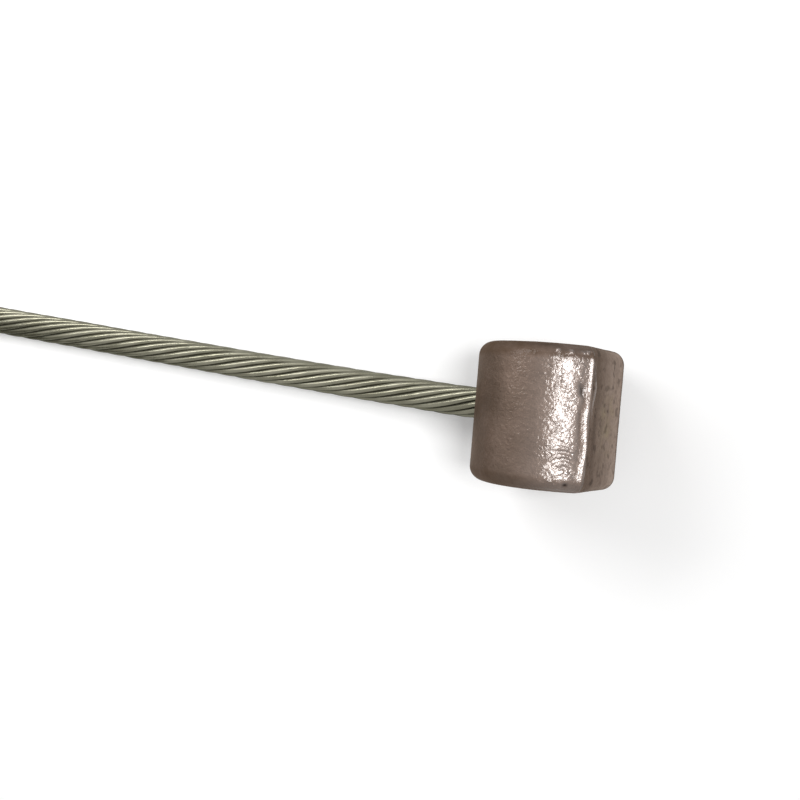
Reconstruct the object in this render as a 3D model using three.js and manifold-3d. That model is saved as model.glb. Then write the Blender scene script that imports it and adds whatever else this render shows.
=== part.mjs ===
import * as THREE from "three";
import { mergeVertices } from "three/addons/utils/BufferGeometryUtils.js";
import Module from "manifold-3d";

// Bicycle brake inner cable: a steel strand with a barrel end cast onto it.
// Millimetres, +Z up. The barrel lies on its round side with its axis along Y.
// The cable leaves the barrel towards -X at a downward slope, lies along the surface and goes into a tied coil.
// The origin is on the surface, under the middle of the barrel's box.

const wasm = await Module();
wasm.setup();

// Barrel end
const barrelDiameter = 7.04;
const barrelLength = 6.75;
const rimRadius = 0.67;
const flatDepth = 0.6;
const barrelSegments = 56;
const rimSegments = 5;

// How far the barrel is rolled, so that the cable slopes down, and how far off its middle the cable leaves it
const exitSlopeDegrees = 18.5;
const exitOffset = 0.29;

// Strand: one core wire, six inner wires and twelve outer wires, laid left-handed
const strandDiameter = 1.6;
const layLength = 14.3;
const wireGap = 0.01;
const wireSides = 6;
const innerWires = 6;
const outerWires = 12;

// Anchorage inside the barrel
const boreClearance = 0.1;
const wireClearance = 0.1;
const mouthFlareWidth = 0.35;
const mouthFlareDepth = 0.4;
const wireSetBack = 0.12;
const gripDepth = 2.14;
const bellDepth = 4.14;
const anchorDepth = 5.44;
const splayRatio = 2.9;
const wireSteps = 9;

// Free length of the cable
const cableLength = 1700;
const touchGap = 0.3;
const runSides = 8;
const runStepLength = 3.6;

// Coil
const coilMeanDiameter = 19;
const turnsPerLevel = 4;
const turnPitch = 1.62;
const coilX = -49.2;
const coilEntryY = 3.55;
const ringCornerRadius = 0.75;
const ringCornerSegments = 1;
const ringSegments = 40;

// Twist ties
const tieWidth = 2.4;
const tieThickness = 0.45;
const tieClearance = 0.15;
const tieCornerRadius = 0.9;
const tieAngles = [150, 330];
const tailDiameter = 1.1;
const tailLength = 6.5;
const tailSides = 10;

// Sizes that follow
const barrelRadius = barrelDiameter / 2;
const exitSlope = THREE.MathUtils.degToRad(exitSlopeDegrees);
const lowFlatEdgeAngle = Math.acos(1 - flatDepth / barrelRadius) - exitSlope;
const barrelX = (barrelRadius * (1 - Math.cos(lowFlatEdgeAngle))) / 2;
const strandRadius = strandDiameter / 2;
const wirePitch = strandDiameter / 5;
const wireRadius = (wirePitch - wireGap) / 2;
const boreRadius = strandRadius + boreClearance;
const coilBase = tieThickness + tieClearance;
const coilMeanRadius = coilMeanDiameter / 2;
const coilOuterRadius = coilMeanRadius + (turnsPerLevel * turnPitch) / 2;
const coilInnerRadius = coilMeanRadius - (turnsPerLevel * turnPitch) / 2;
const coilY = coilEntryY - coilOuterRadius;

// The route from the barrel to the coil: straight out, down to the surface, along it, up onto the ties.
// The last point is where the cable meets the coil's outer turn.
const routePoints = [
  [-5, 0.36, 1.89],
  [-6.2, 0.44, 1.58],
  [-8.4, 0.59, 1.19],
  [-10.8, 0.76, 0.94],
  [-13.2, 0.95, 0.83],
  [-15.6, 1.15, 0.81],
  [-18.1, 1.36, 0.81],
  [-20.6, 1.58, 0.81],
  [-23.2, 1.81, 0.81],
  [-25.9, 2.05, 0.81],
  [-28.7, 2.3, 0.81],
  [-31.4, 2.54, 0.82],
  [-34, 2.78, 0.91],
  [-36.6, 3, 1.08],
  [-39.2, 3.21, 1.24],
  [-42, 3.36, 1.34],
  [coilX, coilEntryY, coilBase + strandRadius],
];

const finishes = {
  zinc: { color: 0x7d6d61, roughness: 0.42, metalness: 1 },
  steel: { color: 0x8f8c7c, roughness: 0.35, metalness: 1 },
  tie: { color: 0xe8e6e0, roughness: 0.55, metalness: 0 },
};

// Joins shared vertices and drops the triangles that have no area, as at the poles of a turned form
function welded(geometry) {
  const plain = geometry.clone();
  plain.deleteAttribute("normal");
  plain.deleteAttribute("uv");
  const merged = mergeVertices(plain, 1e-5);
  const kept = [];
  const index = merged.index.array;
  for (let i = 0; i < index.length; i += 3) {
    const [a, b, c] = [index[i], index[i + 1], index[i + 2]];
    if (a !== b && b !== c && c !== a) kept.push(a, b, c);
  }
  merged.setIndex(kept);
  return merged;
}

function toSolid(geometry) {
  const merged = welded(geometry);
  const mesh = new wasm.Mesh({
    numProp: 3,
    vertProperties: new Float32Array(merged.attributes.position.array),
    triVerts: new Uint32Array(merged.index.array),
  });
  return new wasm.Manifold(mesh);
}

function toGeometry(solid) {
  const { vertProperties, triVerts } = solid.getMesh();
  const geometry = new THREE.BufferGeometry();
  geometry.setAttribute("position", new THREE.BufferAttribute(new Float32Array(vertProperties), 3));
  geometry.setIndex(new THREE.BufferAttribute(new Uint32Array(triVerts), 1));
  geometry.computeVertexNormals();
  return geometry;
}

function named(name, geometry, finish) {
  const mesh = new THREE.Mesh(geometry, new THREE.MeshStandardMaterial(finishes[finish]));
  mesh.name = name;
  return mesh;
}

function polygon(radius, sides) {
  const shape = new THREE.Shape();
  for (let i = 0; i < sides; i++) {
    const angle = (2 * Math.PI * (i + 0.5)) / sides;
    const [x, y] = [radius * Math.cos(angle), radius * Math.sin(angle)];
    if (i === 0) shape.moveTo(x, y);
    else shape.lineTo(x, y);
  }
  shape.closePath();
  return shape;
}

function tubeAlong(path, radius, sides, steps) {
  return new THREE.ExtrudeGeometry(polygon(radius, sides), { extrudePath: path, steps, bevelEnabled: false });
}

// A form turned about the X axis, from a profile of [radius, x] points that starts and ends on the axis
function turnedAboutX(profile, segments) {
  const points = profile.map(([r, x]) => new THREE.Vector2(r, x));
  return new THREE.LatheGeometry(points, segments).rotateZ(-Math.PI / 2);
}

// Barrel: a round bar with one flat, its rims rounded all the way round
function barrelBody() {
  const flatX = barrelRadius - flatDepth;
  const flatAngle = Math.acos(flatX / barrelRadius);
  const outline = [];
  for (let i = 0; i <= barrelSegments; i++) {
    const angle = flatAngle + ((2 * Math.PI - 2 * flatAngle) * i) / barrelSegments;
    outline.push(new THREE.Vector2(barrelRadius * Math.cos(angle), barrelRadius * Math.sin(angle)));
  }
  return new THREE.ExtrudeGeometry(new THREE.Shape(outline), {
    depth: barrelLength - 2 * rimRadius,
    bevelEnabled: true,
    bevelThickness: rimRadius,
    bevelSize: rimRadius,
    bevelOffset: -rimRadius,
    bevelSegments: rimSegments,
  })
    .translate(0, 0, rimRadius - barrelLength / 2)
    .rotateX(-Math.PI / 2);
}

// Depths inside the barrel are counted from its round side at the cable's mouth
const depthToX = (depth) => depth - barrelRadius;

// How much wider than in the strand the wires stand, at a depth
function splayAt(depth) {
  const share = Math.max(0, (depth - gripDepth) / (anchorDepth - gripDepth));
  return 1 + (splayRatio - 1) * share ** 2;
}

class WirePath extends THREE.Curve {
  constructor(ringRadius, startAngle, endDepth) {
    super();
    this.ringRadius = ringRadius;
    this.startAngle = startAngle;
    this.endDepth = endDepth;
  }
  getPoint(t, target = new THREE.Vector3()) {
    const depth = wireSetBack + t * (this.endDepth - wireSetBack);
    const angle = this.startAngle - (2 * Math.PI * depth) / layLength;
    const radius = this.ringRadius * splayAt(depth);
    const y = exitOffset + radius * Math.cos(angle);
    return target.set(depthToX(depth), y, radius * Math.sin(angle));
  }
}

function wirePlaces() {
  const places = [{ name: "core_wire_end", ringRadius: 0, startAngle: 0 }];
  for (let i = 0; i < innerWires; i++) {
    places.push({
      name: `inner_wire_end_${i + 1}`,
      ringRadius: wirePitch,
      startAngle: (2 * Math.PI * i) / innerWires,
    });
  }
  for (let i = 0; i < outerWires; i++) {
    places.push({
      name: `outer_wire_end_${i + 1}`,
      ringRadius: 2 * wirePitch,
      startAngle: (2 * Math.PI * i) / outerWires,
    });
  }
  return places;
}

function wireGeometry({ ringRadius, startAngle }) {
  return tubeAlong(new WirePath(ringRadius, startAngle, anchorDepth), wireRadius, wireSides, wireSteps);
}

// The hollow that the strand fills: a flared mouth, the bore and a bell where the wires begin to open
function strandHollow() {
  const bellRadius = 2 * wirePitch * splayAt(bellDepth) + wireRadius + wireClearance;
  const halfway = (gripDepth + bellDepth) / 2;
  const halfwayRadius = boreRadius + 2 * wirePitch * (splayAt(halfway) - 1);
  const outside = -0.5;
  return turnedAboutX(
    [
      [0, depthToX(outside)],
      [boreRadius + mouthFlareWidth, depthToX(outside)],
      [boreRadius + mouthFlareWidth, depthToX(0)],
      [boreRadius, depthToX(mouthFlareDepth)],
      [boreRadius, depthToX(gripDepth)],
      [halfwayRadius, depthToX(halfway)],
      [bellRadius, depthToX(bellDepth)],
      [0, depthToX(bellDepth)],
    ],
    24,
  ).translate(0, exitOffset, 0);
}

// The hole round one wire, beyond the bell
function wireHole({ ringRadius, startAngle }) {
  const path = new WirePath(ringRadius, startAngle, anchorDepth + wireClearance);
  return tubeAlong(path, wireRadius + wireClearance, wireSides, wireSteps);
}

function barrelGeometry() {
  let solid = toSolid(barrelBody()).subtract(toSolid(strandHollow()));
  for (const place of wirePlaces()) solid = solid.subtract(toSolid(wireHole(place)));
  return toGeometry(solid);
}

function barrelEnd() {
  const group = new THREE.Group();
  group.add(named("barrel_end", barrelGeometry(), "zinc"));
  for (const place of wirePlaces()) group.add(named(place.name, welded(wireGeometry(place)), "steel"));
  group.rotation.y = -exitSlope;
  group.position.set(barrelX, 0, barrelRadius);
  return group;
}

// Cable from the barrel's mouth to the coil
const exitDirection = new THREE.Vector3(-Math.cos(exitSlope), 0, -Math.sin(exitSlope));
const mouth = new THREE.Vector3(barrelX, exitOffset, barrelRadius)
  .addScaledVector(exitDirection, barrelRadius - wireSetBack);

function route() {
  const points = routePoints.map(([x, y, z]) => new THREE.Vector3(x, y, z));
  return new THREE.CatmullRomCurve3([mouth, ...points], false, "centripetal");
}

// The run stops short of the coil's outside by the touching gap
function runGeometry() {
  const start = mouth.clone().addScaledVector(exitDirection, touchGap);
  const stop = routePoints.length - 1;
  const points = routePoints.slice(0, stop).map(([x, y, z]) => new THREE.Vector3(x, y, z));
  const path = new THREE.CatmullRomCurve3([start, ...points], false, "centripetal");
  const steps = Math.round(path.getLength() / runStepLength);
  return tubeAlong(path, strandRadius, runSides, steps);
}

// Coil: the turns lie in flat spirals, one level on another
const coilTurns = (cableLength - route().getLength()) / (Math.PI * coilMeanDiameter);
const coilLevels = Math.ceil(coilTurns / turnsPerLevel);
const ringHeight = (coilLevels - 1) * turnPitch + strandDiameter;
const ringOuterRadius = coilOuterRadius + strandRadius;
const ringInnerRadius = coilInnerRadius - strandRadius;

function ringGeometry() {
  const profile = new THREE.Path();
  const [low, high] = [coilBase, coilBase + ringHeight];
  const [near, far] = [ringInnerRadius, ringOuterRadius];
  const corner = ringCornerRadius;
  profile.absarc(near + corner, low + corner, corner, Math.PI, 1.5 * Math.PI, false);
  profile.absarc(far - corner, low + corner, corner, 1.5 * Math.PI, 2 * Math.PI, false);
  profile.absarc(far - corner, high - corner, corner, 0, 0.5 * Math.PI, false);
  profile.absarc(near + corner, high - corner, corner, 0.5 * Math.PI, Math.PI, false);
  const points = profile.getPoints(ringCornerSegments);
  points.push(points[0].clone());
  return new THREE.LatheGeometry(points, ringSegments).rotateX(Math.PI / 2);
}

// Twist tie: a flat band round the ring's section, and its twisted tail lying on top
function roundedRectangle(path, x0, y0, x1, y1, corner) {
  path.absarc(x0 + corner, y0 + corner, corner, Math.PI, 1.5 * Math.PI, false);
  path.absarc(x1 - corner, y0 + corner, corner, 1.5 * Math.PI, 2 * Math.PI, false);
  path.absarc(x1 - corner, y1 - corner, corner, 0, 0.5 * Math.PI, false);
  path.absarc(x0 + corner, y1 - corner, corner, 0.5 * Math.PI, Math.PI, false);
  path.closePath();
  return path;
}

function tieGeometry() {
  const sagitta = ringInnerRadius - Math.sqrt(ringInnerRadius ** 2 - (tieWidth / 2) ** 2);
  const near = ringInnerRadius - sagitta - tieClearance;
  const far = ringOuterRadius + tieClearance;
  const low = coilBase - tieClearance;
  const high = coilBase + ringHeight + tieClearance;
  const t = tieThickness;
  const band = roundedRectangle(new THREE.Shape(), near - t, low - t, far + t, high + t, tieCornerRadius);
  const inside = tieCornerRadius - t;
  band.holes.push(roundedRectangle(new THREE.Path(), near, low, far, high, inside));
  const bandGeometry = new THREE.ExtrudeGeometry(band, { depth: tieWidth, bevelEnabled: false, curveSegments: 4 })
    .translate(0, 0, -tieWidth / 2)
    .rotateX(Math.PI / 2);
  const tailRadius = tailDiameter / 2;
  const tailGeometry = new THREE.CapsuleGeometry(tailRadius, tailLength - tailDiameter, 3, tailSides)
    .translate(coilMeanRadius, tailLength / 2 - tailRadius, high + tailRadius);
  return toGeometry(toSolid(bandGeometry).add(toSolid(tailGeometry)));
}

function coil() {
  const group = new THREE.Group();
  group.add(named("cable_coil", welded(ringGeometry()), "steel"));
  tieAngles.forEach((degrees, i) => {
    const tie = named(`twist_tie_${i + 1}`, tieGeometry(), "tie");
    tie.rotation.z = THREE.MathUtils.degToRad(degrees);
    group.add(tie);
  });
  group.position.set(coilX, coilY, 0);
  return group;
}

const brakeCable = new THREE.Group();
brakeCable.name = "brake_cable";
brakeCable.add(barrelEnd());
brakeCable.add(named("cable_run", welded(runGeometry()), "steel"));
brakeCable.add(coil());

export default brakeCable;
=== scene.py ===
import math
import random

import bmesh
import bpy
import numpy as np
from mathutils import Matrix, Vector, noise


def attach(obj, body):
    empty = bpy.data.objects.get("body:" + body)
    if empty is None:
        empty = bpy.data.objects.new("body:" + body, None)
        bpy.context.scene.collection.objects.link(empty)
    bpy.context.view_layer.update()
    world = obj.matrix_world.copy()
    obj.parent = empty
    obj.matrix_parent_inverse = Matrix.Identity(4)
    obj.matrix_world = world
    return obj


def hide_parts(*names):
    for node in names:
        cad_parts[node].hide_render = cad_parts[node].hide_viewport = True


MM = 0.001

# Strand, in millimetres
STRAND_D = 1.6
STRAND_R = STRAND_D / 2
WIRE_R = STRAND_D / 10
OUTER_WIRES = 12
OUTER_RING_R = 4 * WIRE_R
GROOVE_R = OUTER_RING_R * 0.955
LAY = 14.3
STRAND_PHASE = math.radians(2.5)
CABLE_LENGTH = 1700.0
LINE_STEP = 0.4
SEEN_RUN = 47.0

# Barrel end
BARREL_R = 3.52
BARREL_LENGTH = 6.75
RIM = 0.67
FLAT_DEPTH = 0.6
EXIT_SLOPE = math.radians(18.5)
EXIT_OFFSET = 0.29
BARREL_X = 0.0635
EXIT_DEPTH = 0.12
FLAT_EDGE = 0.14
FLAT_HALF = math.sqrt(BARREL_R**2 - (BARREL_R - FLAT_DEPTH) ** 2)

# Coil
COIL_MEAN_R = 9.5
LEVELS = 7
TURNS_PER_LEVEL = 4
TURN_PITCH = 1.62
COIL_X = -49.2
COIL_ENTRY_Y = 3.55
COIL_BASE = 0.6
COIL_OUTER_R = COIL_MEAN_R + TURNS_PER_LEVEL * TURN_PITCH / 2
COIL_INNER_R = COIL_MEAN_R - TURNS_PER_LEVEL * TURN_PITCH / 2
COIL_HEIGHT = (LEVELS - 1) * TURN_PITCH + STRAND_D
COIL_Y = COIL_ENTRY_Y - COIL_OUTER_R

# Twist ties
TIE_WIDTH = 2.4
TIE_THICKNESS = 0.45
TIE_CLEARANCE = 0.15
TIE_CORNER = 0.9
TIE_WING = 0.2
TAIL_LENGTH = 6.4
TAIL_WIDTH = 0.84
TAIL_THICKNESS = 0.26
TAIL_WING = 0.13
TAIL_HEIGHT = 0.52
TWIST_PITCH = 2.3
TWISTED_LENGTH = 4.6

# Camera
CAMERA_AT = Vector((4.5455, 0.793, 47.54)) * MM
CAMERA_AIM = Vector((-8.3205, 0.065, 0.0)) * MM
CAMERA_ROLL = math.radians(4.901)
CAMERA_LENS = 40.5

# Light
ROOM_LIGHT = 0.36
FLOOR_LIFT = 0.22

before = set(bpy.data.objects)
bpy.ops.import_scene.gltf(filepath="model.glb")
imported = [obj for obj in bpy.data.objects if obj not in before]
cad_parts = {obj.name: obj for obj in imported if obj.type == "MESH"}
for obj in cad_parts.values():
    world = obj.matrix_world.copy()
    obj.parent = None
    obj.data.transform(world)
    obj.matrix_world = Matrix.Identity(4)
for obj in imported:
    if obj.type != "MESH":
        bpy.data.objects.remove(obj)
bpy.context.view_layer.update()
scene = bpy.context.scene
scene.view_settings.view_transform = "Standard"


def linear(r, g, b):
    """A colour given in sRGB from 0 to 255, as linear RGBA."""
    out = []
    for c in (r, g, b):
        c /= 255
        out.append(c / 12.92 if c <= 0.04045 else ((c + 0.055) / 1.055) ** 2.4)
    return (*out, 1.0)


# Camera
def add_camera():
    data = bpy.data.cameras.new("camera")
    camera = bpy.data.objects.new("camera", data)
    scene.collection.objects.link(camera)
    ahead = (CAMERA_AIM - CAMERA_AT).normalized()
    level = ahead.cross(Vector((0, 1, 0))).normalized()
    raised = level.cross(ahead)
    right = level * math.cos(CAMERA_ROLL) + raised * math.sin(CAMERA_ROLL)
    up = right.cross(ahead)
    turn = Matrix((right, up, -ahead)).transposed().to_4x4()
    camera.matrix_world = Matrix.Translation(CAMERA_AT) @ turn
    data.lens = CAMERA_LENS
    data.sensor_width = 36
    data.clip_start = 0.001
    data.clip_end = 10
    scene.camera = camera


add_camera()


# The cable's middle line, in millimetres
ROUTE = [
    (-5, 0.36, 1.89),
    (-6.2, 0.44, 1.58),
    (-8.4, 0.59, 1.19),
    (-10.8, 0.76, 0.94),
    (-13.2, 0.95, 0.83),
    (-15.6, 1.15, 0.81),
    (-18.1, 1.36, 0.81),
    (-20.6, 1.58, 0.81),
    (-23.2, 1.81, 0.81),
    (-25.9, 2.05, 0.81),
    (-28.7, 2.3, 0.81),
    (-31.4, 2.54, 0.82),
    (-34, 2.78, 0.91),
    (-36.6, 3, 1.08),
    (-39.2, 3.21, 1.24),
    (-42, 3.36, 1.34),
    (COIL_X, COIL_ENTRY_Y, COIL_BASE + STRAND_R),
]
EXIT_WAY = np.array([-math.cos(EXIT_SLOPE), 0, -math.sin(EXIT_SLOPE)])
MOUTH = np.array([BARREL_X, EXIT_OFFSET, BARREL_R]) + EXIT_WAY * (BARREL_R - EXIT_DEPTH)


def centripetal(points, step):
    """Points close together on a centripetal Catmull-Rom line through the given ones."""
    p = np.array(points, float)
    p = np.vstack([2 * p[0] - p[1], p, 2 * p[-1] - p[-2]])
    out = []
    for i in range(1, len(p) - 2):
        p0, p1, p2, p3 = p[i - 1 : i + 3]
        t0 = 0.0
        t1 = t0 + np.linalg.norm(p1 - p0) ** 0.5
        t2 = t1 + np.linalg.norm(p2 - p1) ** 0.5
        t3 = t2 + np.linalg.norm(p3 - p2) ** 0.5
        count = max(2, int(round(np.linalg.norm(p2 - p1) / step)))
        for t in np.linspace(t1, t2, count, endpoint=False):
            a1 = (t1 - t) / (t1 - t0) * p0 + (t - t0) / (t1 - t0) * p1
            a2 = (t2 - t) / (t2 - t1) * p1 + (t - t1) / (t2 - t1) * p2
            a3 = (t3 - t) / (t3 - t2) * p2 + (t - t2) / (t3 - t2) * p3
            b1 = (t2 - t) / (t2 - t0) * a1 + (t - t0) / (t2 - t0) * a2
            b2 = (t3 - t) / (t3 - t1) * a2 + (t - t1) / (t3 - t1) * a3
            out.append((t2 - t) / (t2 - t1) * b1 + (t - t1) / (t2 - t1) * b2)
    return out


def smooth(x):
    """From 0 to 1 as x goes from 0 to 1, level at both ends."""
    x = min(1.0, max(0.0, x))
    return x * x * (3 - 2 * x)


def coil_point(turns):
    """Where the cable is after that many turns of the coil. Each level is a flat spiral."""
    level_share = turns / TURNS_PER_LEVEL
    fold = abs((level_share + 1) % 2 - 1)
    soft = 0.06
    if fold < soft and turns > 0.5:
        fold = (fold * fold / soft + soft) / 2
    elif fold > 1 - soft:
        fold = 1 - ((1 - fold) ** 2 / soft + soft) / 2
    radius = COIL_OUTER_R + (COIL_INNER_R - COIL_OUTER_R) * fold
    z = COIL_BASE + STRAND_R
    for level in range(1, LEVELS + 1):
        z += TURN_PITCH * smooth((turns - TURNS_PER_LEVEL * level + 0.25) / 0.5)
    angle = math.radians(90 + 360 * turns)
    return np.array([COIL_X + radius * math.cos(angle), COIL_Y + radius * math.sin(angle), z])


def cable_line():
    """The whole middle line, cut to the cable's length, and the distance along it."""
    way = centripetal([MOUTH, *ROUTE], LINE_STEP)
    turns = 0.0
    while turns < (LEVELS + 1) * TURNS_PER_LEVEL:
        way.append(coil_point(turns))
        turns += LINE_STEP / (2 * math.pi * COIL_MEAN_R)
    way = np.array(way)
    run = np.concatenate([[0], np.cumsum(np.linalg.norm(np.diff(way, axis=0), axis=1))])
    stop = int(np.searchsorted(run, CABLE_LENGTH))
    return way[: stop + 1], run[: stop + 1]


LINE, LINE_RUN = cable_line()


def line_at(s):
    """The middle line's points at those distances from the barrel's mouth."""
    return np.stack([np.interp(s, LINE_RUN, LINE[:, k]) for k in range(3)], axis=-1)


# Meshes and materials
def new_object(name, points, faces):
    """A smooth mesh piece from points in millimetres."""
    mesh = bpy.data.meshes.new(name)
    mesh.from_pydata((np.asarray(points) * MM).tolist(), [], faces)
    mesh.update()
    mesh.polygons.foreach_set("use_smooth", [True] * len(mesh.polygons))
    obj = bpy.data.objects.new(name, mesh)
    scene.collection.objects.link(obj)
    return obj


def tube_faces(rings, n, closed=False):
    """Faces between rings of n points. Closed joins the last ring to the first, or else both get a cap."""
    faces = []
    for i in range(rings if closed else rings - 1):
        a, b = i * n, (i + 1) % rings * n
        for j in range(n):
            k = (j + 1) % n
            faces.append((a + j, a + k, b + k, b + j))
    if not closed:
        faces.append(tuple(reversed(range(n))))
        faces.append(tuple((rings - 1) * n + j for j in range(n)))
    return faces


def add_values(obj, name, values):
    """A value for each point, which the materials read by its name."""
    attribute = obj.data.attributes.new(name, "FLOAT", "POINT")
    attribute.data.foreach_set("value", np.asarray(values, dtype=np.float32))


class Shader:
    """A material made of nodes. A number or colour is set on its socket, and a node's output is linked."""

    def __init__(self, name):
        self.material = bpy.data.materials.new(name)
        self.material.use_nodes = True
        self.tree = self.material.node_tree
        self.surface = self.tree.nodes["Principled BSDF"]

    def put(self, socket, value):
        if isinstance(value, bpy.types.NodeSocket):
            self.tree.links.new(value, socket)
        else:
            socket.default_value = value

    def node(self, kind, output=0, settings=None, **inputs):
        made = self.tree.nodes.new(kind)
        for key, value in (settings or {}).items():
            setattr(made, key, value)
        for key, value in inputs.items():
            place = int(key[1:]) if key[0] == "i" and key[1:].isdigit() else key.replace("_", " ")
            self.put(made.inputs[place], value)
        return made.outputs[output]

    def math(self, operation, a, b):
        return self.node("ShaderNodeMath", settings={"operation": operation}, i0=a, i1=b)

    def value(self, name):
        return self.node("ShaderNodeAttribute", output=2, settings={"attribute_name": name})

    def coords(self):
        return self.node("ShaderNodeTexCoord", output=3)

    def noise(self, vector, scale, detail=2.0, roughness=0.5, distortion=0.0):
        return self.node(
            "ShaderNodeTexNoise",
            Vector=vector,
            Scale=scale,
            Detail=detail,
            Roughness=roughness,
            Distortion=distortion,
        )

    def remap(self, value, a, b, low=0.0, high=1.0):
        return self.node("ShaderNodeMapRange", i0=value, i1=a, i2=b, i3=low, i4=high)

    def mix(self, share, a, b):
        made = self.tree.nodes.new("ShaderNodeMix")
        made.data_type = "RGBA"
        self.put(made.inputs[0], share)
        self.put(made.inputs[6], a)
        self.put(made.inputs[7], b)
        return made.outputs[2]

    def bump(self, height, distance, strength, normal=None):
        made = self.tree.nodes.new("ShaderNodeBump")
        self.put(made.inputs["Height"], height)
        made.inputs["Distance"].default_value = distance
        self.put(made.inputs["Strength"], strength)
        if normal is not None:
            self.put(made.inputs["Normal"], normal)
        return made.outputs[0]

    def set(self, **inputs):
        for key, value in inputs.items():
            self.put(self.surface.inputs[key.replace("_", " ")], value)


# Twist ties
def tie_material():
    s = Shader("tie_strip")
    at = s.coords()
    tint = s.noise(at, 900.0, 3.0, 0.6)
    s.set(
        Base_Color=s.mix(s.remap(tint, 0.35, 0.65), linear(214, 211, 202), linear(226, 224, 216)),
        Roughness=0.5,
        Normal=s.bump(s.noise(at, 5200.0, 3.0, 0.6), 0.000018, 0.6),
    )
    return s.material


def strip_section(half_width, wing, rib):
    """The section of a twist tie's strip: two thin wings with a wire in the middle."""
    right = [0.14, 0.24, 0.35, 0.6, 0.85, 1]
    places = np.array([-x for x in reversed(right)] + [0] + right) * half_width
    over_wire = np.clip(1 - (places / (0.32 * half_width)) ** 2, 0, 1)
    rise = wing / 2 + (rib - wing) / 2 * np.sqrt(over_wire)
    rise[0] = rise[-1] = wing / 5
    upper = list(zip(places, rise))
    lower = list(zip(places[::-1], -rise[::-1]))
    return np.array(upper + lower)


def sweep(middle, wide_ways, thick_ways, section, closed):
    """Points and faces of a section taken along a line. Closed joins its end to its start."""
    points = np.concatenate([
        middle[i] + np.outer(section[:, 0], wide_ways[i]) + np.outer(section[:, 1], thick_ways[i])
        for i in range(len(middle))
    ])
    return points, tube_faces(len(middle), len(section), closed)


def band_line():
    """A tie's band: its distance from the coil's middle and its height, its outward ways, and its top."""
    inner = COIL_INNER_R - STRAND_R
    near = math.sqrt(inner**2 - (TIE_WIDTH / 2) ** 2) - TIE_CLEARANCE - TIE_THICKNESS / 2
    far = COIL_OUTER_R + STRAND_R + TIE_CLEARANCE + TIE_THICKNESS / 2
    low = COIL_BASE - TIE_CLEARANCE - TIE_THICKNESS / 2
    high = COIL_BASE + COIL_HEIGHT + TIE_CLEARANCE + TIE_THICKNESS / 2
    corner = TIE_CORNER - TIE_THICKNESS / 2
    line, ways = [], []
    corners = [(far, low, -90), (far, high, 0), (near, high, 90), (near, low, 180)]
    for x, z, start in corners:
        cx = x - corner if x == far else x + corner
        cz = z - corner if z == high else z + corner
        for t in np.radians(np.linspace(start, start + 90, 7)):
            line.append((cx + corner * math.cos(t), cz + corner * math.sin(t)))
            ways.append((math.cos(t), math.sin(t)))
    line, ways = np.array(line), np.array(ways)
    full_line, full_ways = [], []
    for a, b, way_a, way_b in zip(line, np.roll(line, -1, axis=0), ways, np.roll(ways, -1, axis=0)):
        parts = max(1, int(np.linalg.norm(b - a) / 0.5))
        for k in range(parts):
            full_line.append(a + (b - a) * k / parts)
            way = way_a * (1 - k / parts) + way_b * k / parts
            full_ways.append(way / np.linalg.norm(way))
    return full_line, full_ways, high


def tail_strip(side, high):
    """One of the two ends that are twisted together on top of the coil. They part at the tip."""
    middle, wide, thick = [], [], []
    for s in np.linspace(-0.5, TAIL_LENGTH - 0.5, 60):
        turn = 2 * math.pi * min(s, TWISTED_LENGTH) / TWIST_PITCH + (0 if side > 0 else math.pi)
        spread = 0.15 + 0.6 * smooth((s - TWISTED_LENGTH + 0.2) / 1.8)
        out = np.array([math.cos(turn), 0.0, math.sin(turn)])
        across = np.array([-math.sin(turn), 0.0, math.cos(turn)])
        middle.append(np.array([COIL_MEAN_R, s, high + TAIL_HEIGHT]) + spread * out)
        wide.append(across)
        thick.append(out)
    return np.array(middle), wide, thick


def add_tie(name, node, degrees, material):
    """A twist tie round the coil's section, that many degrees round the coil."""
    line, ways, high = band_line()
    middle = np.array([(x, 0.06 * math.sin(0.5 * (x + z)), z) for x, z in line])
    wide = [np.array([0.0, 1.0, 0.0])] * len(middle)
    thick = [np.array([x, 0.0, z]) for x, z in ways]
    band_section = strip_section(TIE_WIDTH / 2, TIE_WING, TIE_THICKNESS)
    tail_section = strip_section(TAIL_WIDTH / 2, TAIL_WING, TAIL_THICKNESS)
    points, faces = sweep(middle, wide, thick, band_section, True)
    for side in (1, -1):
        more, more_faces = sweep(*tail_strip(side, high), tail_section, False)
        faces += [tuple(v + len(points) for v in face) for face in more_faces]
        points = np.concatenate([points, more])
    t = math.radians(degrees)
    turn = np.array([[math.cos(t), math.sin(t), 0], [-math.sin(t), math.cos(t), 0], [0, 0, 1]])
    points = points @ turn + np.array([COIL_X, COIL_Y, 0])
    tie = new_object(name, points, faces)
    tie.data.set_sharp_from_angle(angle=math.radians(50))
    tie.data.materials.append(material)
    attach(tie, "root")
    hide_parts(node)
    return tie


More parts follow.
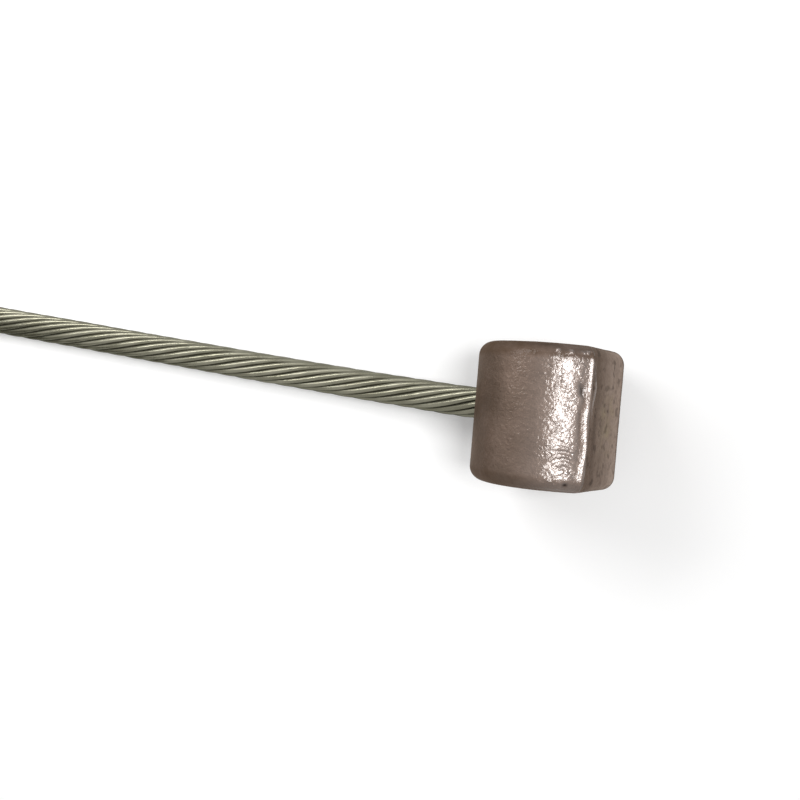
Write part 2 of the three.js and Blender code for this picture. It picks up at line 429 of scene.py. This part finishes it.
# Strand
def strand_material():
    s = Shader("drawn_steel")
    groove = s.value("groove")
    wire = s.value("wire")
    along = s.value("along")
    around = s.value("around")
    # Drawing streaks run along each wire, and patches of oil differ from wire to wire
    across_wire = s.math("MULTIPLY", around, 9.0)
    streak_at = s.node("ShaderNodeCombineXYZ", X=across_wire, Y=s.math("MULTIPLY", along, 0.35), Z=wire)
    streak = s.noise(streak_at, 1.0, 3.0, 0.6)
    patch_at = s.node("ShaderNodeCombineXYZ", X=wire, Y=s.math("MULTIPLY", along, 0.22), Z=0.0)
    patch = s.noise(patch_at, 2.4, 2.0)
    clean = s.mix(s.remap(patch, 0.35, 0.65), linear(115, 113, 98), linear(134, 132, 117))
    streaked = s.mix(s.remap(streak, 0.5, 0.75, 0.0, 0.55), clean, linear(96, 94, 76))
    # The grooves between the wires are painted darker: painted shade.
    deep = s.remap(groove, 0.3, 1.0)
    colour = s.mix(s.math("POWER", deep, 1.2), streaked, linear(56, 54, 42))
    scratched = s.remap(streak, 0.3, 0.8, 0.17, 0.33)
    oiled = s.remap(patch, 0.45, 0.65, 0.0, 0.12)
    s.set(
        Base_Color=colour,
        Metallic=s.remap(groove, 0.4, 1.0, 0.8, 0.3),
        Roughness=s.math("ADD", scratched, oiled),
        Specular_Tint=linear(76, 86, 90),
        Normal=s.bump(streak, 0.000004, 0.6),
    )
    return s.material


def strand_ring(picked):
    """One section of the strand, from places picked on each wire in degrees. None is the groove's floor.

    A row holds the angle, the distance from the middle, how deep in the groove it is, the wire's number
    and the place round the wire.
    """
    wide = WIRE_R * math.hypot(1, 2 * math.pi * OUTER_RING_R / LAY)
    rows = []
    for wire in range(OUTER_WIRES):
        base = 2 * math.pi * wire / OUTER_WIRES
        for turn in picked:
            if turn is None:
                rows.append((base - math.pi / OUTER_WIRES, GROOVE_R, 1.0, wire, -1.0))
                continue
            t = math.radians(turn)
            x, y = OUTER_RING_R + WIRE_R * math.cos(t), wide * math.sin(t)
            share = turn / 90
            rows.append((base + math.atan2(y, x), math.hypot(x, y), abs(share) ** 2.5, wire, share))
    return np.array(rows)


# The stretch that is seen close up has a finer mesh than the coil
FINE = strand_ring((None, -80, -54, -27, 0, 27, 54, 80))
COARSE = FINE[::2]


def along_frames(places):
    """The middle line's points there, each with two crosswise directions that don't twist round it."""
    points = np.array([line_at(p) if p > 0 else MOUTH + EXIT_WAY * p for p in places])
    ways = np.gradient(points, axis=0)
    ways /= np.linalg.norm(ways, axis=1)[:, None]
    side = np.array([0.0, 1.0, 0.0])
    sides = []
    for way in ways:
        side = side - way * (side @ way)
        side /= np.linalg.norm(side)
        sides.append(side)
    sides = np.array(sides)
    return points, sides, np.cross(ways, sides)


def strand_faces(sizes):
    """Faces between rings of those sizes, of which one may be half the one before, and the two ends."""
    starts = np.concatenate([[0], np.cumsum(sizes)]).tolist()
    faces = []
    for i in range(len(sizes) - 1):
        a, b = starts[i], starts[i + 1]
        n, m = sizes[i], sizes[i + 1]
        if n == m:
            for j in range(n):
                k = (j + 1) % n
                faces.append((a + j, a + k, b + k, b + j))
        else:
            for j in range(m):
                p, q, r = a + 2 * j, a + 2 * j + 1, a + (2 * j + 2) % n
                u, v = b + j, b + (j + 1) % m
                faces += [(p, q, u), (q, v, u), (q, r, v)]
    faces.append(tuple(reversed(range(sizes[0]))))
    faces.append(tuple(range(starts[-2], starts[-1])))
    return faces


def strand_rings(places, fine_count):
    """The points and the rows of each ring. The first fine_count rings are fine, and the rest coarse."""
    points, across, up = along_frames(places)
    rng = random.Random(7)
    wobble = [
        (rng.uniform(0.25, 0.6), rng.uniform(0, 6.28), rng.uniform(0, 6.28))
        for _ in range(OUTER_WIRES)
    ]
    rates, firsts, seconds = np.array(wobble).T
    verts, rings = [], []
    for i, s in enumerate(places):
        ring = FINE if i < fine_count else COARSE
        turn, reach, depth, wire, _ = ring.T
        wire = wire.astype(int)
        rate, first, second = rates[wire], firsts[wire], seconds[wire]
        # The wires lie a little unevenly, and are drawn in at the cut end
        lift = 0.005 * np.sin(rate * s + first) + 0.003 * np.sin(2.3 * rate * s + second)
        drift = math.radians(0.5) * np.sin(0.7 * rate * s + second)
        taper = 1 - 0.12 * smooth(1 - (LINE_RUN[-1] - s) / 5)
        radius = (reach + lift * (1 - depth)) * taper
        angle = turn + drift + STRAND_PHASE - 2 * math.pi * s / LAY
        side_part = np.outer(radius * np.cos(angle), across[i])
        verts.append(points[i] + side_part + np.outer(radius * np.sin(angle), up[i]))
        rings.append(ring)
    return verts, rings


def add_cable(material):
    """The whole strand, from inside the barrel's mouth to its bare end on the coil."""
    fine = np.arange(-0.5, SEEN_RUN, 0.3)
    coarse = np.arange(SEEN_RUN + 0.5, LINE_RUN[-1], 1.1)
    places = np.concatenate([fine, coarse])
    verts, rings = strand_rings(places, len(fine))
    sizes = [len(ring) for ring in rings]
    cable = new_object("cable", np.vstack(verts), strand_faces(sizes))
    rows = np.vstack(rings)
    add_values(cable, "groove", rows[:, 2])
    add_values(cable, "wire", rows[:, 3])
    add_values(cable, "along", np.repeat(places, sizes))
    add_values(cable, "around", rows[:, 4])
    cable.data.set_sharp_from_angle(angle=math.radians(55))
    cable.data.materials.append(material)
    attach(cable, "root")
    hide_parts("cable_run", "cable_coil")


# Barrel end
OUTLINE_STEP = 0.046
FACE_RINGS = 12
RIM_RINGS = 25
BODY_RINGS = 114


def barrel_outline():
    """The barrel's section, from the middle of the flat upwards and round. The flat's edges are rounded."""
    flat_x = BARREL_R - FLAT_DEPTH
    corner_x = flat_x - FLAT_EDGE
    corner_z = math.sqrt((BARREL_R - FLAT_EDGE) ** 2 - corner_x**2)
    meet = math.atan2(corner_z, corner_x)
    half = [(flat_x, z) for z in np.arange(0, corner_z, OUTLINE_STEP)]
    for t in np.linspace(0, meet, 5):
        half.append((corner_x + FLAT_EDGE * math.cos(t), corner_z + FLAT_EDGE * math.sin(t)))
    for t in np.arange(meet, math.pi, OUTLINE_STEP / BARREL_R)[1:]:
        half.append((BARREL_R * math.cos(t), BARREL_R * math.sin(t)))
    half.append((-BARREL_R, 0.0))
    mirrored = [(x, -z) for x, z in reversed(half[1:-1])]
    return np.array(half + mirrored)


def barrel_sections():
    """Each ring's share of the full outline and its place along the axis, from end face to end face."""
    half = BARREL_LENGTH / 2
    shares = np.linspace(0.03, 1 - RIM / BARREL_R, FACE_RINGS + 1)[:-1]
    rows = [(share, -half) for share in shares]
    for t in np.linspace(0, math.pi / 2, RIM_RINGS):
        rows.append((1 - RIM * (1 - math.sin(t)) / BARREL_R, -half + RIM * (1 - math.cos(t))))
    body = np.linspace(-half + RIM, half - RIM, BODY_RINGS + 2)[1:-1]
    return rows + [(1.0, y) for y in body] + [(share, -y) for share, y in reversed(rows)]


def outline_crown(outline):
    """Distance round the surface from the flat's upper edge, below 0 on the way over the flat."""
    lengths = np.linalg.norm(np.diff(np.vstack([outline, outline[:1]]), axis=0), axis=1)
    run = np.concatenate([[0], np.cumsum(lengths)])[:-1]
    total = run[-1] + lengths[-1]
    return (run - FLAT_HALF + total / 2) % total - total / 2


def barrel_grid(outline, share, place):
    """The plain barrel's points and outward ways, ring by ring."""
    grid = np.zeros((len(share), len(outline), 3))
    grid[:, :, 0] = share[:, None] * outline[None, :, 0]
    grid[:, :, 2] = share[:, None] * outline[None, :, 1]
    grid[:, :, 1] = place[:, None]
    along = np.gradient(grid, axis=0)
    turned = (np.roll(grid, -1, axis=1) - np.roll(grid, 1, axis=1)) / 2
    outward = np.cross(along, turned)
    outward /= np.linalg.norm(outward, axis=2)[:, :, None] + 1e-12
    if outward[len(share) // 2, 0, 0] < 0:
        outward = -outward
    return grid.reshape(-1, 3), outward.reshape(-1, 3)


def field(points, size, seed):
    """Soft noise from -1 to 1 at each point, with features of that size in millimetres."""
    shift = Vector((seed * 17.3, seed * 5.1, seed * 9.7))
    return np.array([noise.noise(Vector(p) / size + shift) for p in points])


def bell(x, width):
    """1 where x is 0, and nearly nothing from twice the width on."""
    return np.exp(-((x / width) ** 2))


def fade(x, width=0.05):
    """From 0 to 1 as x passes through 0."""
    return 1 / (1 + np.exp(-x / width))


# The marks of the casting, and painted shade and light, as heights in millimetres and shares for each
# point. Inside is 1 but for the end faces. Y is the place along the axis. Crown is the distance round from
# the flat's upper edge.
def cast_grain(points, inside, y, crown, bead):
    """Height of the hammered grain and slow waves, and how rough each place is."""
    grain = 0.0068 * field(points, 0.14, 1) + 0.002 * field(points, 0.075, 2)
    waves = 0.010 * field(points, 1.3, 3) + 0.005 * field(points, 0.6, 4)
    patches = field(points, 0.55, 11)
    rough = 0.22 + inside * bell(crown - 1.0, 1.4)
    rough *= 1 - 0.8 * bell(crown - bead, 0.16)
    rough *= np.clip(1 + 1.2 * patches, 0.4, 1.7)
    rough *= 1 - 0.55 * bell(crown - 0.7, 0.28) * bell(y + 0.1, 2.2)
    coarse = 0.015 * field(points, 0.25, 12) * np.clip(2.5 * patches, 0, 1)
    return grain * rough + waves + coarse * inside * bell(crown - 1.6, 0.9), rough


def edge_bead(inside, y, crown, bead):
    """Height of the bead along the flat's upper edge, of the valley beside it and of a thin flash."""
    valley = bell(crown - bead - 0.32, 0.15) * bell(y + 0.2, 1.9)
    height = 0.046 + 0.008 * np.sin(3.1 * y) + 0.04 * bell(y + 2.4, 0.5) + 0.012 * bell(y - 1.9, 0.9)
    height *= 1 - 0.55 * bell(y - 0.75, 0.25)
    width = 0.075 + 0.085 * bell(y + 2.4, 0.5) + 0.03 * bell(y - 1.9, 0.9)
    flash = bell(crown + 0.36 - 0.1 * np.sin(3.2 * y), 0.09) * bell(y - 1.3, 0.8)
    out = inside * (height * bell(crown - bead, width) - 0.034 * valley + 0.06 * flash)
    return out, valley, flash


def small_marks(points, inside, y, crown):
    """Height of the nick beside the bead, the wrinkles and the pit, and painted shade in the nick, pit and
    far edge.
    """
    nick = bell(crown - 0.42 - 0.3 * (y - 1.3) - 0.1 * field(points, 0.3, 8), 0.13) * bell(y - 1.3, 0.3)
    ripple = np.hypot(crown - 1.05, y + 2.75)
    wrinkles = np.cos(2 * math.pi * ripple / 0.36 + 1.8 * field(points, 0.7, 5))
    wrinkles *= bell(crown - 1.05, 0.6) * bell(y + 1.75, 0.75)
    pit = bell(crown - 0.85, 0.11) * bell(y + 3.0, 0.08)
    shade = inside * bell(y - 3.27, 0.08) * bell(crown - 2.3, 0.8)
    return 0.021 * wrinkles - 0.08 * nick - 0.06 * pit, 0.75 * nick + pit + 0.4 * shade


def rim_flecks(points, y, crown):
    """Height of the flecks of flash on the far rim, level with the body, and how bare each place is."""
    ragged = np.clip(0.6 + 1.3 * field(points, 0.15, 13), 0, 1)
    fleck = ragged * bell(crown - 0.3, 0.32)
    fleck += 0.6 * bell(crown - 1.1, 0.1) + 0.9 * bell(crown - 1.69, 0.09)
    fleck *= np.exp(-(((y - 3.0) / 0.085) ** 4))
    past_body = np.clip((y - BARREL_LENGTH / 2 + RIM) / RIM, 0, 1)
    fall = RIM * (1 - np.sqrt(1 - past_body**2))
    return 1.15 * fleck * fall, np.clip(1.8 * fleck, 0, 1)


def flat_marks(points, inside, y, crown):
    """Height of the flat's streaks, its darkness and stain, and which places are on the flat."""
    on_flat = inside * fade(-crown - 0.12) * fade(crown + 2 * FLAT_HALF - 0.12)
    streak = np.array([noise.noise(Vector((c / 0.3, t / 1.6, 4.2))) for c, t in zip(crown, y)])
    dots = field(points, 0.4, 6) + 0.5 * field(points, 0.17, 9)
    dark = 0.25 * np.clip(streak, 0, 1) + np.clip(1.6 * (dots - 0.27), 0, 0.42)
    dark += 0.24 * bell(crown + 0.8 + 0.1 * np.sin(1.7 * y), 0.24) * bell(y + 0.5, 2.0)
    stain = bell(crown + 2.3, 0.9) * bell(y + 0.1, 1.4)
    stain *= np.clip(0.4 + 0.9 * field(points, 0.5, 7), 0, 1)
    return 0.003 * on_flat * inside * streak, on_flat * dark, on_flat * stain, on_flat


def rim_painted_shade(share, y):
    """How much painted shade darkens the rims and end faces. The far rim has more of it."""
    rim = np.clip((np.abs(y) - 2.6) / 0.22, 0, 1) * np.where(y > 0, 1.0, 0.6)
    return rim * np.clip(0.4 + (share - 0.6) / 0.2, 0.4, 1)


def barrel_relief(points, share, y, crown):
    """How far each place stands out, and the values that the zinc's material reads there."""
    inside = fade(share - (1 - 0.55 * RIM / BARREL_R), 0.01)
    bead = 0.06 + 0.05 * np.sin(1.9 * y + 0.6) - 0.16 * bell(y - 1.0, 0.5)
    grain_out, rough = cast_grain(points, inside, y, crown, bead)
    bead_out, valley, flash = edge_bead(inside, y, crown, bead)
    marks_out, marks_dark = small_marks(points, inside, y, crown)
    fleck_out, bare = rim_flecks(points, y, crown)
    flat_out, flat_dark, stain, on_flat = flat_marks(points, inside, y, crown)
    dark = np.clip(marks_dark + flat_dark, 0, 1)
    # The polished band runs along the side that catches the key lamp. Its gloss is real, and the lighter
    # colour it gets in the material is painted highlight.
    polish_and_highlight = inside * np.where(crown < 0.9, fade(crown), bell(crown - 0.9, 1.7)) * (1 - 0.7 * valley)
    polish_and_highlight = np.maximum(polish_and_highlight, np.clip(np.maximum(1.3 * flash, bare), 0, 0.9))
    values = {
        # The rim value is painted shade on the rims and end faces.
        "rim": rim_painted_shade(share, y) * (1 - 0.75 * on_flat) * (1 - bare),
        "dark": dark,
        "stain": stain,
        "polish_and_highlight": 0.06 + 0.94 * polish_and_highlight * (1 - dark),
        "rough": rough,
        # The flat value makes the flat lighter towards its far side: painted light.
        "flat": on_flat * np.clip(-0.17 - 0.3 * crown, 0.05, 1),
    }
    return grain_out + bead_out + marks_out + fleck_out + flat_out, values


def mouth_draw(points):
    """How far the metal draws in round the strand where it leaves."""
    from_strand = np.hypot(points[:, 1] - EXIT_OFFSET, points[:, 2])
    at_mouth = (points[:, 0] < 0) & (from_strand < 1.4)
    return np.where(at_mouth, 0.17 * np.clip((1.22 - from_strand) / 0.36, 0, 1) ** 1.5, 0)


def zinc_material():
    s = Shader("cast_zinc")
    at = s.coords()
    rim = s.value("rim")
    cloud = s.noise(at, 420.0, 3.0, 0.55)
    speck = s.noise(at, 5200.0, 2.0, 0.6)
    polish_and_highlight = s.value("polish_and_highlight")
    cloudy = s.remap(cloud, 0.35, 0.65)
    # The polished band's lighter colour is painted highlight. Its coat and lower roughness are real gloss.
    highlight_tone = s.mix(cloudy, linear(97, 80, 70), linear(112, 95, 85))
    dull = s.mix(cloudy, linear(89, 75, 65), linear(107, 91, 81))
    # The flat's lighter colour, growing towards its far side, is painted light.
    on_flat = s.mix(cloudy, linear(158, 141, 130), linear(176, 160, 149))
    base = s.mix(s.value("flat"), s.mix(polish_and_highlight, dull, highlight_tone), on_flat)
    base = s.mix(s.remap(speck, 0.45, 0.75, 0.0, 0.35), base, linear(76, 60, 50))
    # Painted shade on the rims and end faces, in patches.
    rim_shade_patches = s.noise(at, 1100.0, 2.0, 0.6)
    rim_shade = s.math("MULTIPLY", rim, s.remap(rim_shade_patches, 0.35, 0.65, 0.1, 0.75))
    base = s.mix(rim_shade, base, linear(78, 62, 48))
    base = s.mix(s.value("stain"), base, linear(146, 132, 112))
    # Painted shade in the nick, the pit and along the far edge, with the flat's dark streaks and dots.
    base = s.mix(s.value("dark"), base, linear(34, 24, 20))
    fine = s.noise(at, 12500.0, 3.0, 0.6)
    coarse = s.noise(at, 5600.0, 2.0, 0.55, 0.5)
    normal = s.bump(coarse, 0.00006, s.remap(s.value("rough"), 0.1, 1.5, 0.3, 0.8))
    normal = s.bump(fine, 0.00002, 0.3, normal)
    satin = s.math("ADD", s.remap(cloud, 0.3, 0.7, 0.0, 0.08), s.remap(polish_and_highlight, 0.0, 1.0, 0.5, 0.42))
    s.set(
        Base_Color=base,
        Metallic=1.0,
        Roughness=s.math("ADD", satin, s.math("MULTIPLY", rim, 0.16)),
        Specular_Tint=linear(206, 198, 190),
        Coat_Weight=s.math("MULTIPLY", polish_and_highlight, s.remap(rim, 0.0, 1.0, 1.0, 0.25)),
        Coat_Roughness=0.13,
        Coat_IOR=2.0,
        Coat_Normal=normal,
        Normal=normal,
    )
    return s.material


def add_barrel():
    outline = barrel_outline()
    share, place = np.array(barrel_sections()).T
    rings, count = len(share), len(outline)
    points, outward = barrel_grid(outline, share, place)
    crown = np.tile(outline_crown(outline), rings)
    out, values = barrel_relief(points, np.repeat(share, count), np.repeat(place, count), crown)
    points = points + outward * (out - mouth_draw(points))[:, None]
    c, t = math.cos(EXIT_SLOPE), math.sin(EXIT_SLOPE)
    turn = np.array([[c, 0, t], [0, 1, 0], [-t, 0, c]])
    points = points @ turn + np.array([BARREL_X, 0, BARREL_R])
    points[:, 2] = np.maximum(points[:, 2], 0.0)
    barrel = new_object("barrel", points, tube_faces(rings, count))
    for name, value in values.items():
        add_values(barrel, name, value)
    mesh = bmesh.new()
    mesh.from_mesh(barrel.data)
    bmesh.ops.recalc_face_normals(mesh, faces=mesh.faces)
    mesh.to_mesh(barrel.data)
    mesh.free()
    barrel.data.materials.append(zinc_material())
    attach(barrel, "root")
    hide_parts("barrel_end")


paper = tie_material()
steel = strand_material()
tie_1 = add_tie("tie_1", "twist_tie_1", 150, paper)
tie_2 = add_tie("tie_2", "twist_tie_2", 330, paper)
add_cable(steel)
add_barrel()
for name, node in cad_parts.items():
    if "wire_end" in name:
        node.data.materials.clear()
        node.data.materials.append(steel)


# Floor, light and background
def background_rays(tree):
    """1 for the rays that show a background: from the camera, or off metal and through glass."""
    rays = tree.nodes.new("ShaderNodeLightPath")
    total = rays.outputs["Is Camera Ray"]
    for name in ("Is Glossy Ray", "Is Transmission Ray"):
        larger = tree.nodes.new("ShaderNodeMath")
        larger.operation = "MAXIMUM"
        tree.links.new(total, larger.inputs[0])
        tree.links.new(rays.outputs[name], larger.inputs[1])
        total = larger.outputs[0]
    return total


def add_floor():
    half = 3000.0
    corners = [(-half, -half, 0), (half, -half, 0), (half, half, 0), (-half, half, 0)]
    floor = new_object("floor", corners, [(0, 1, 2, 3)])
    s = Shader("pale_floor")
    lift = s.math("MULTIPLY", background_rays(s.tree), FLOOR_LIFT)
    s.set(
        Base_Color=(0.8, 0.8, 0.8, 1),
        Roughness=0.9,
        Specular_IOR_Level=0.0,
        Emission_Color=(1, 1, 1, 1),
        Emission_Strength=lift,
    )
    floor.data.materials.append(s.material)


def add_world():
    world = bpy.data.worlds.new("studio")
    world.use_nodes = True
    tree = world.node_tree
    shade = tree.nodes["Background"]
    shade.inputs["Color"].default_value = (1, 1, 1, 1)
    level = tree.nodes.new("ShaderNodeMapRange")
    level.inputs["To Min"].default_value = ROOM_LIGHT
    level.inputs["To Max"].default_value = 1.0
    tree.links.new(background_rays(tree), level.inputs["Value"])
    tree.links.new(level.outputs[0], shade.inputs["Strength"])
    scene.world = world


def add_lamp(name, at, aim, width, height, radiance):
    """A soft rectangular lamp of an even brightness, with places in millimetres."""
    light = bpy.data.lights.new(name, "AREA")
    light.shape = "RECTANGLE"
    light.size = width * MM
    light.size_y = height * MM
    light.energy = radiance * math.pi * width * height * MM * MM
    lamp = bpy.data.objects.new(name, light)
    lamp.location = Vector(at) * MM
    lamp.rotation_mode = "QUATERNION"
    lamp.rotation_quaternion = (Vector(at) - Vector(aim)).to_track_quat("Z", "Y")
    scene.collection.objects.link(lamp)


add_floor()
add_world()
add_lamp("key", (4640, 240, 8720), (0, 0, 3), 3600, 4000, 12.0)
add_lamp("side", (-46, 31, 49), (-22, 1, 1), 46, 20, 9.0)
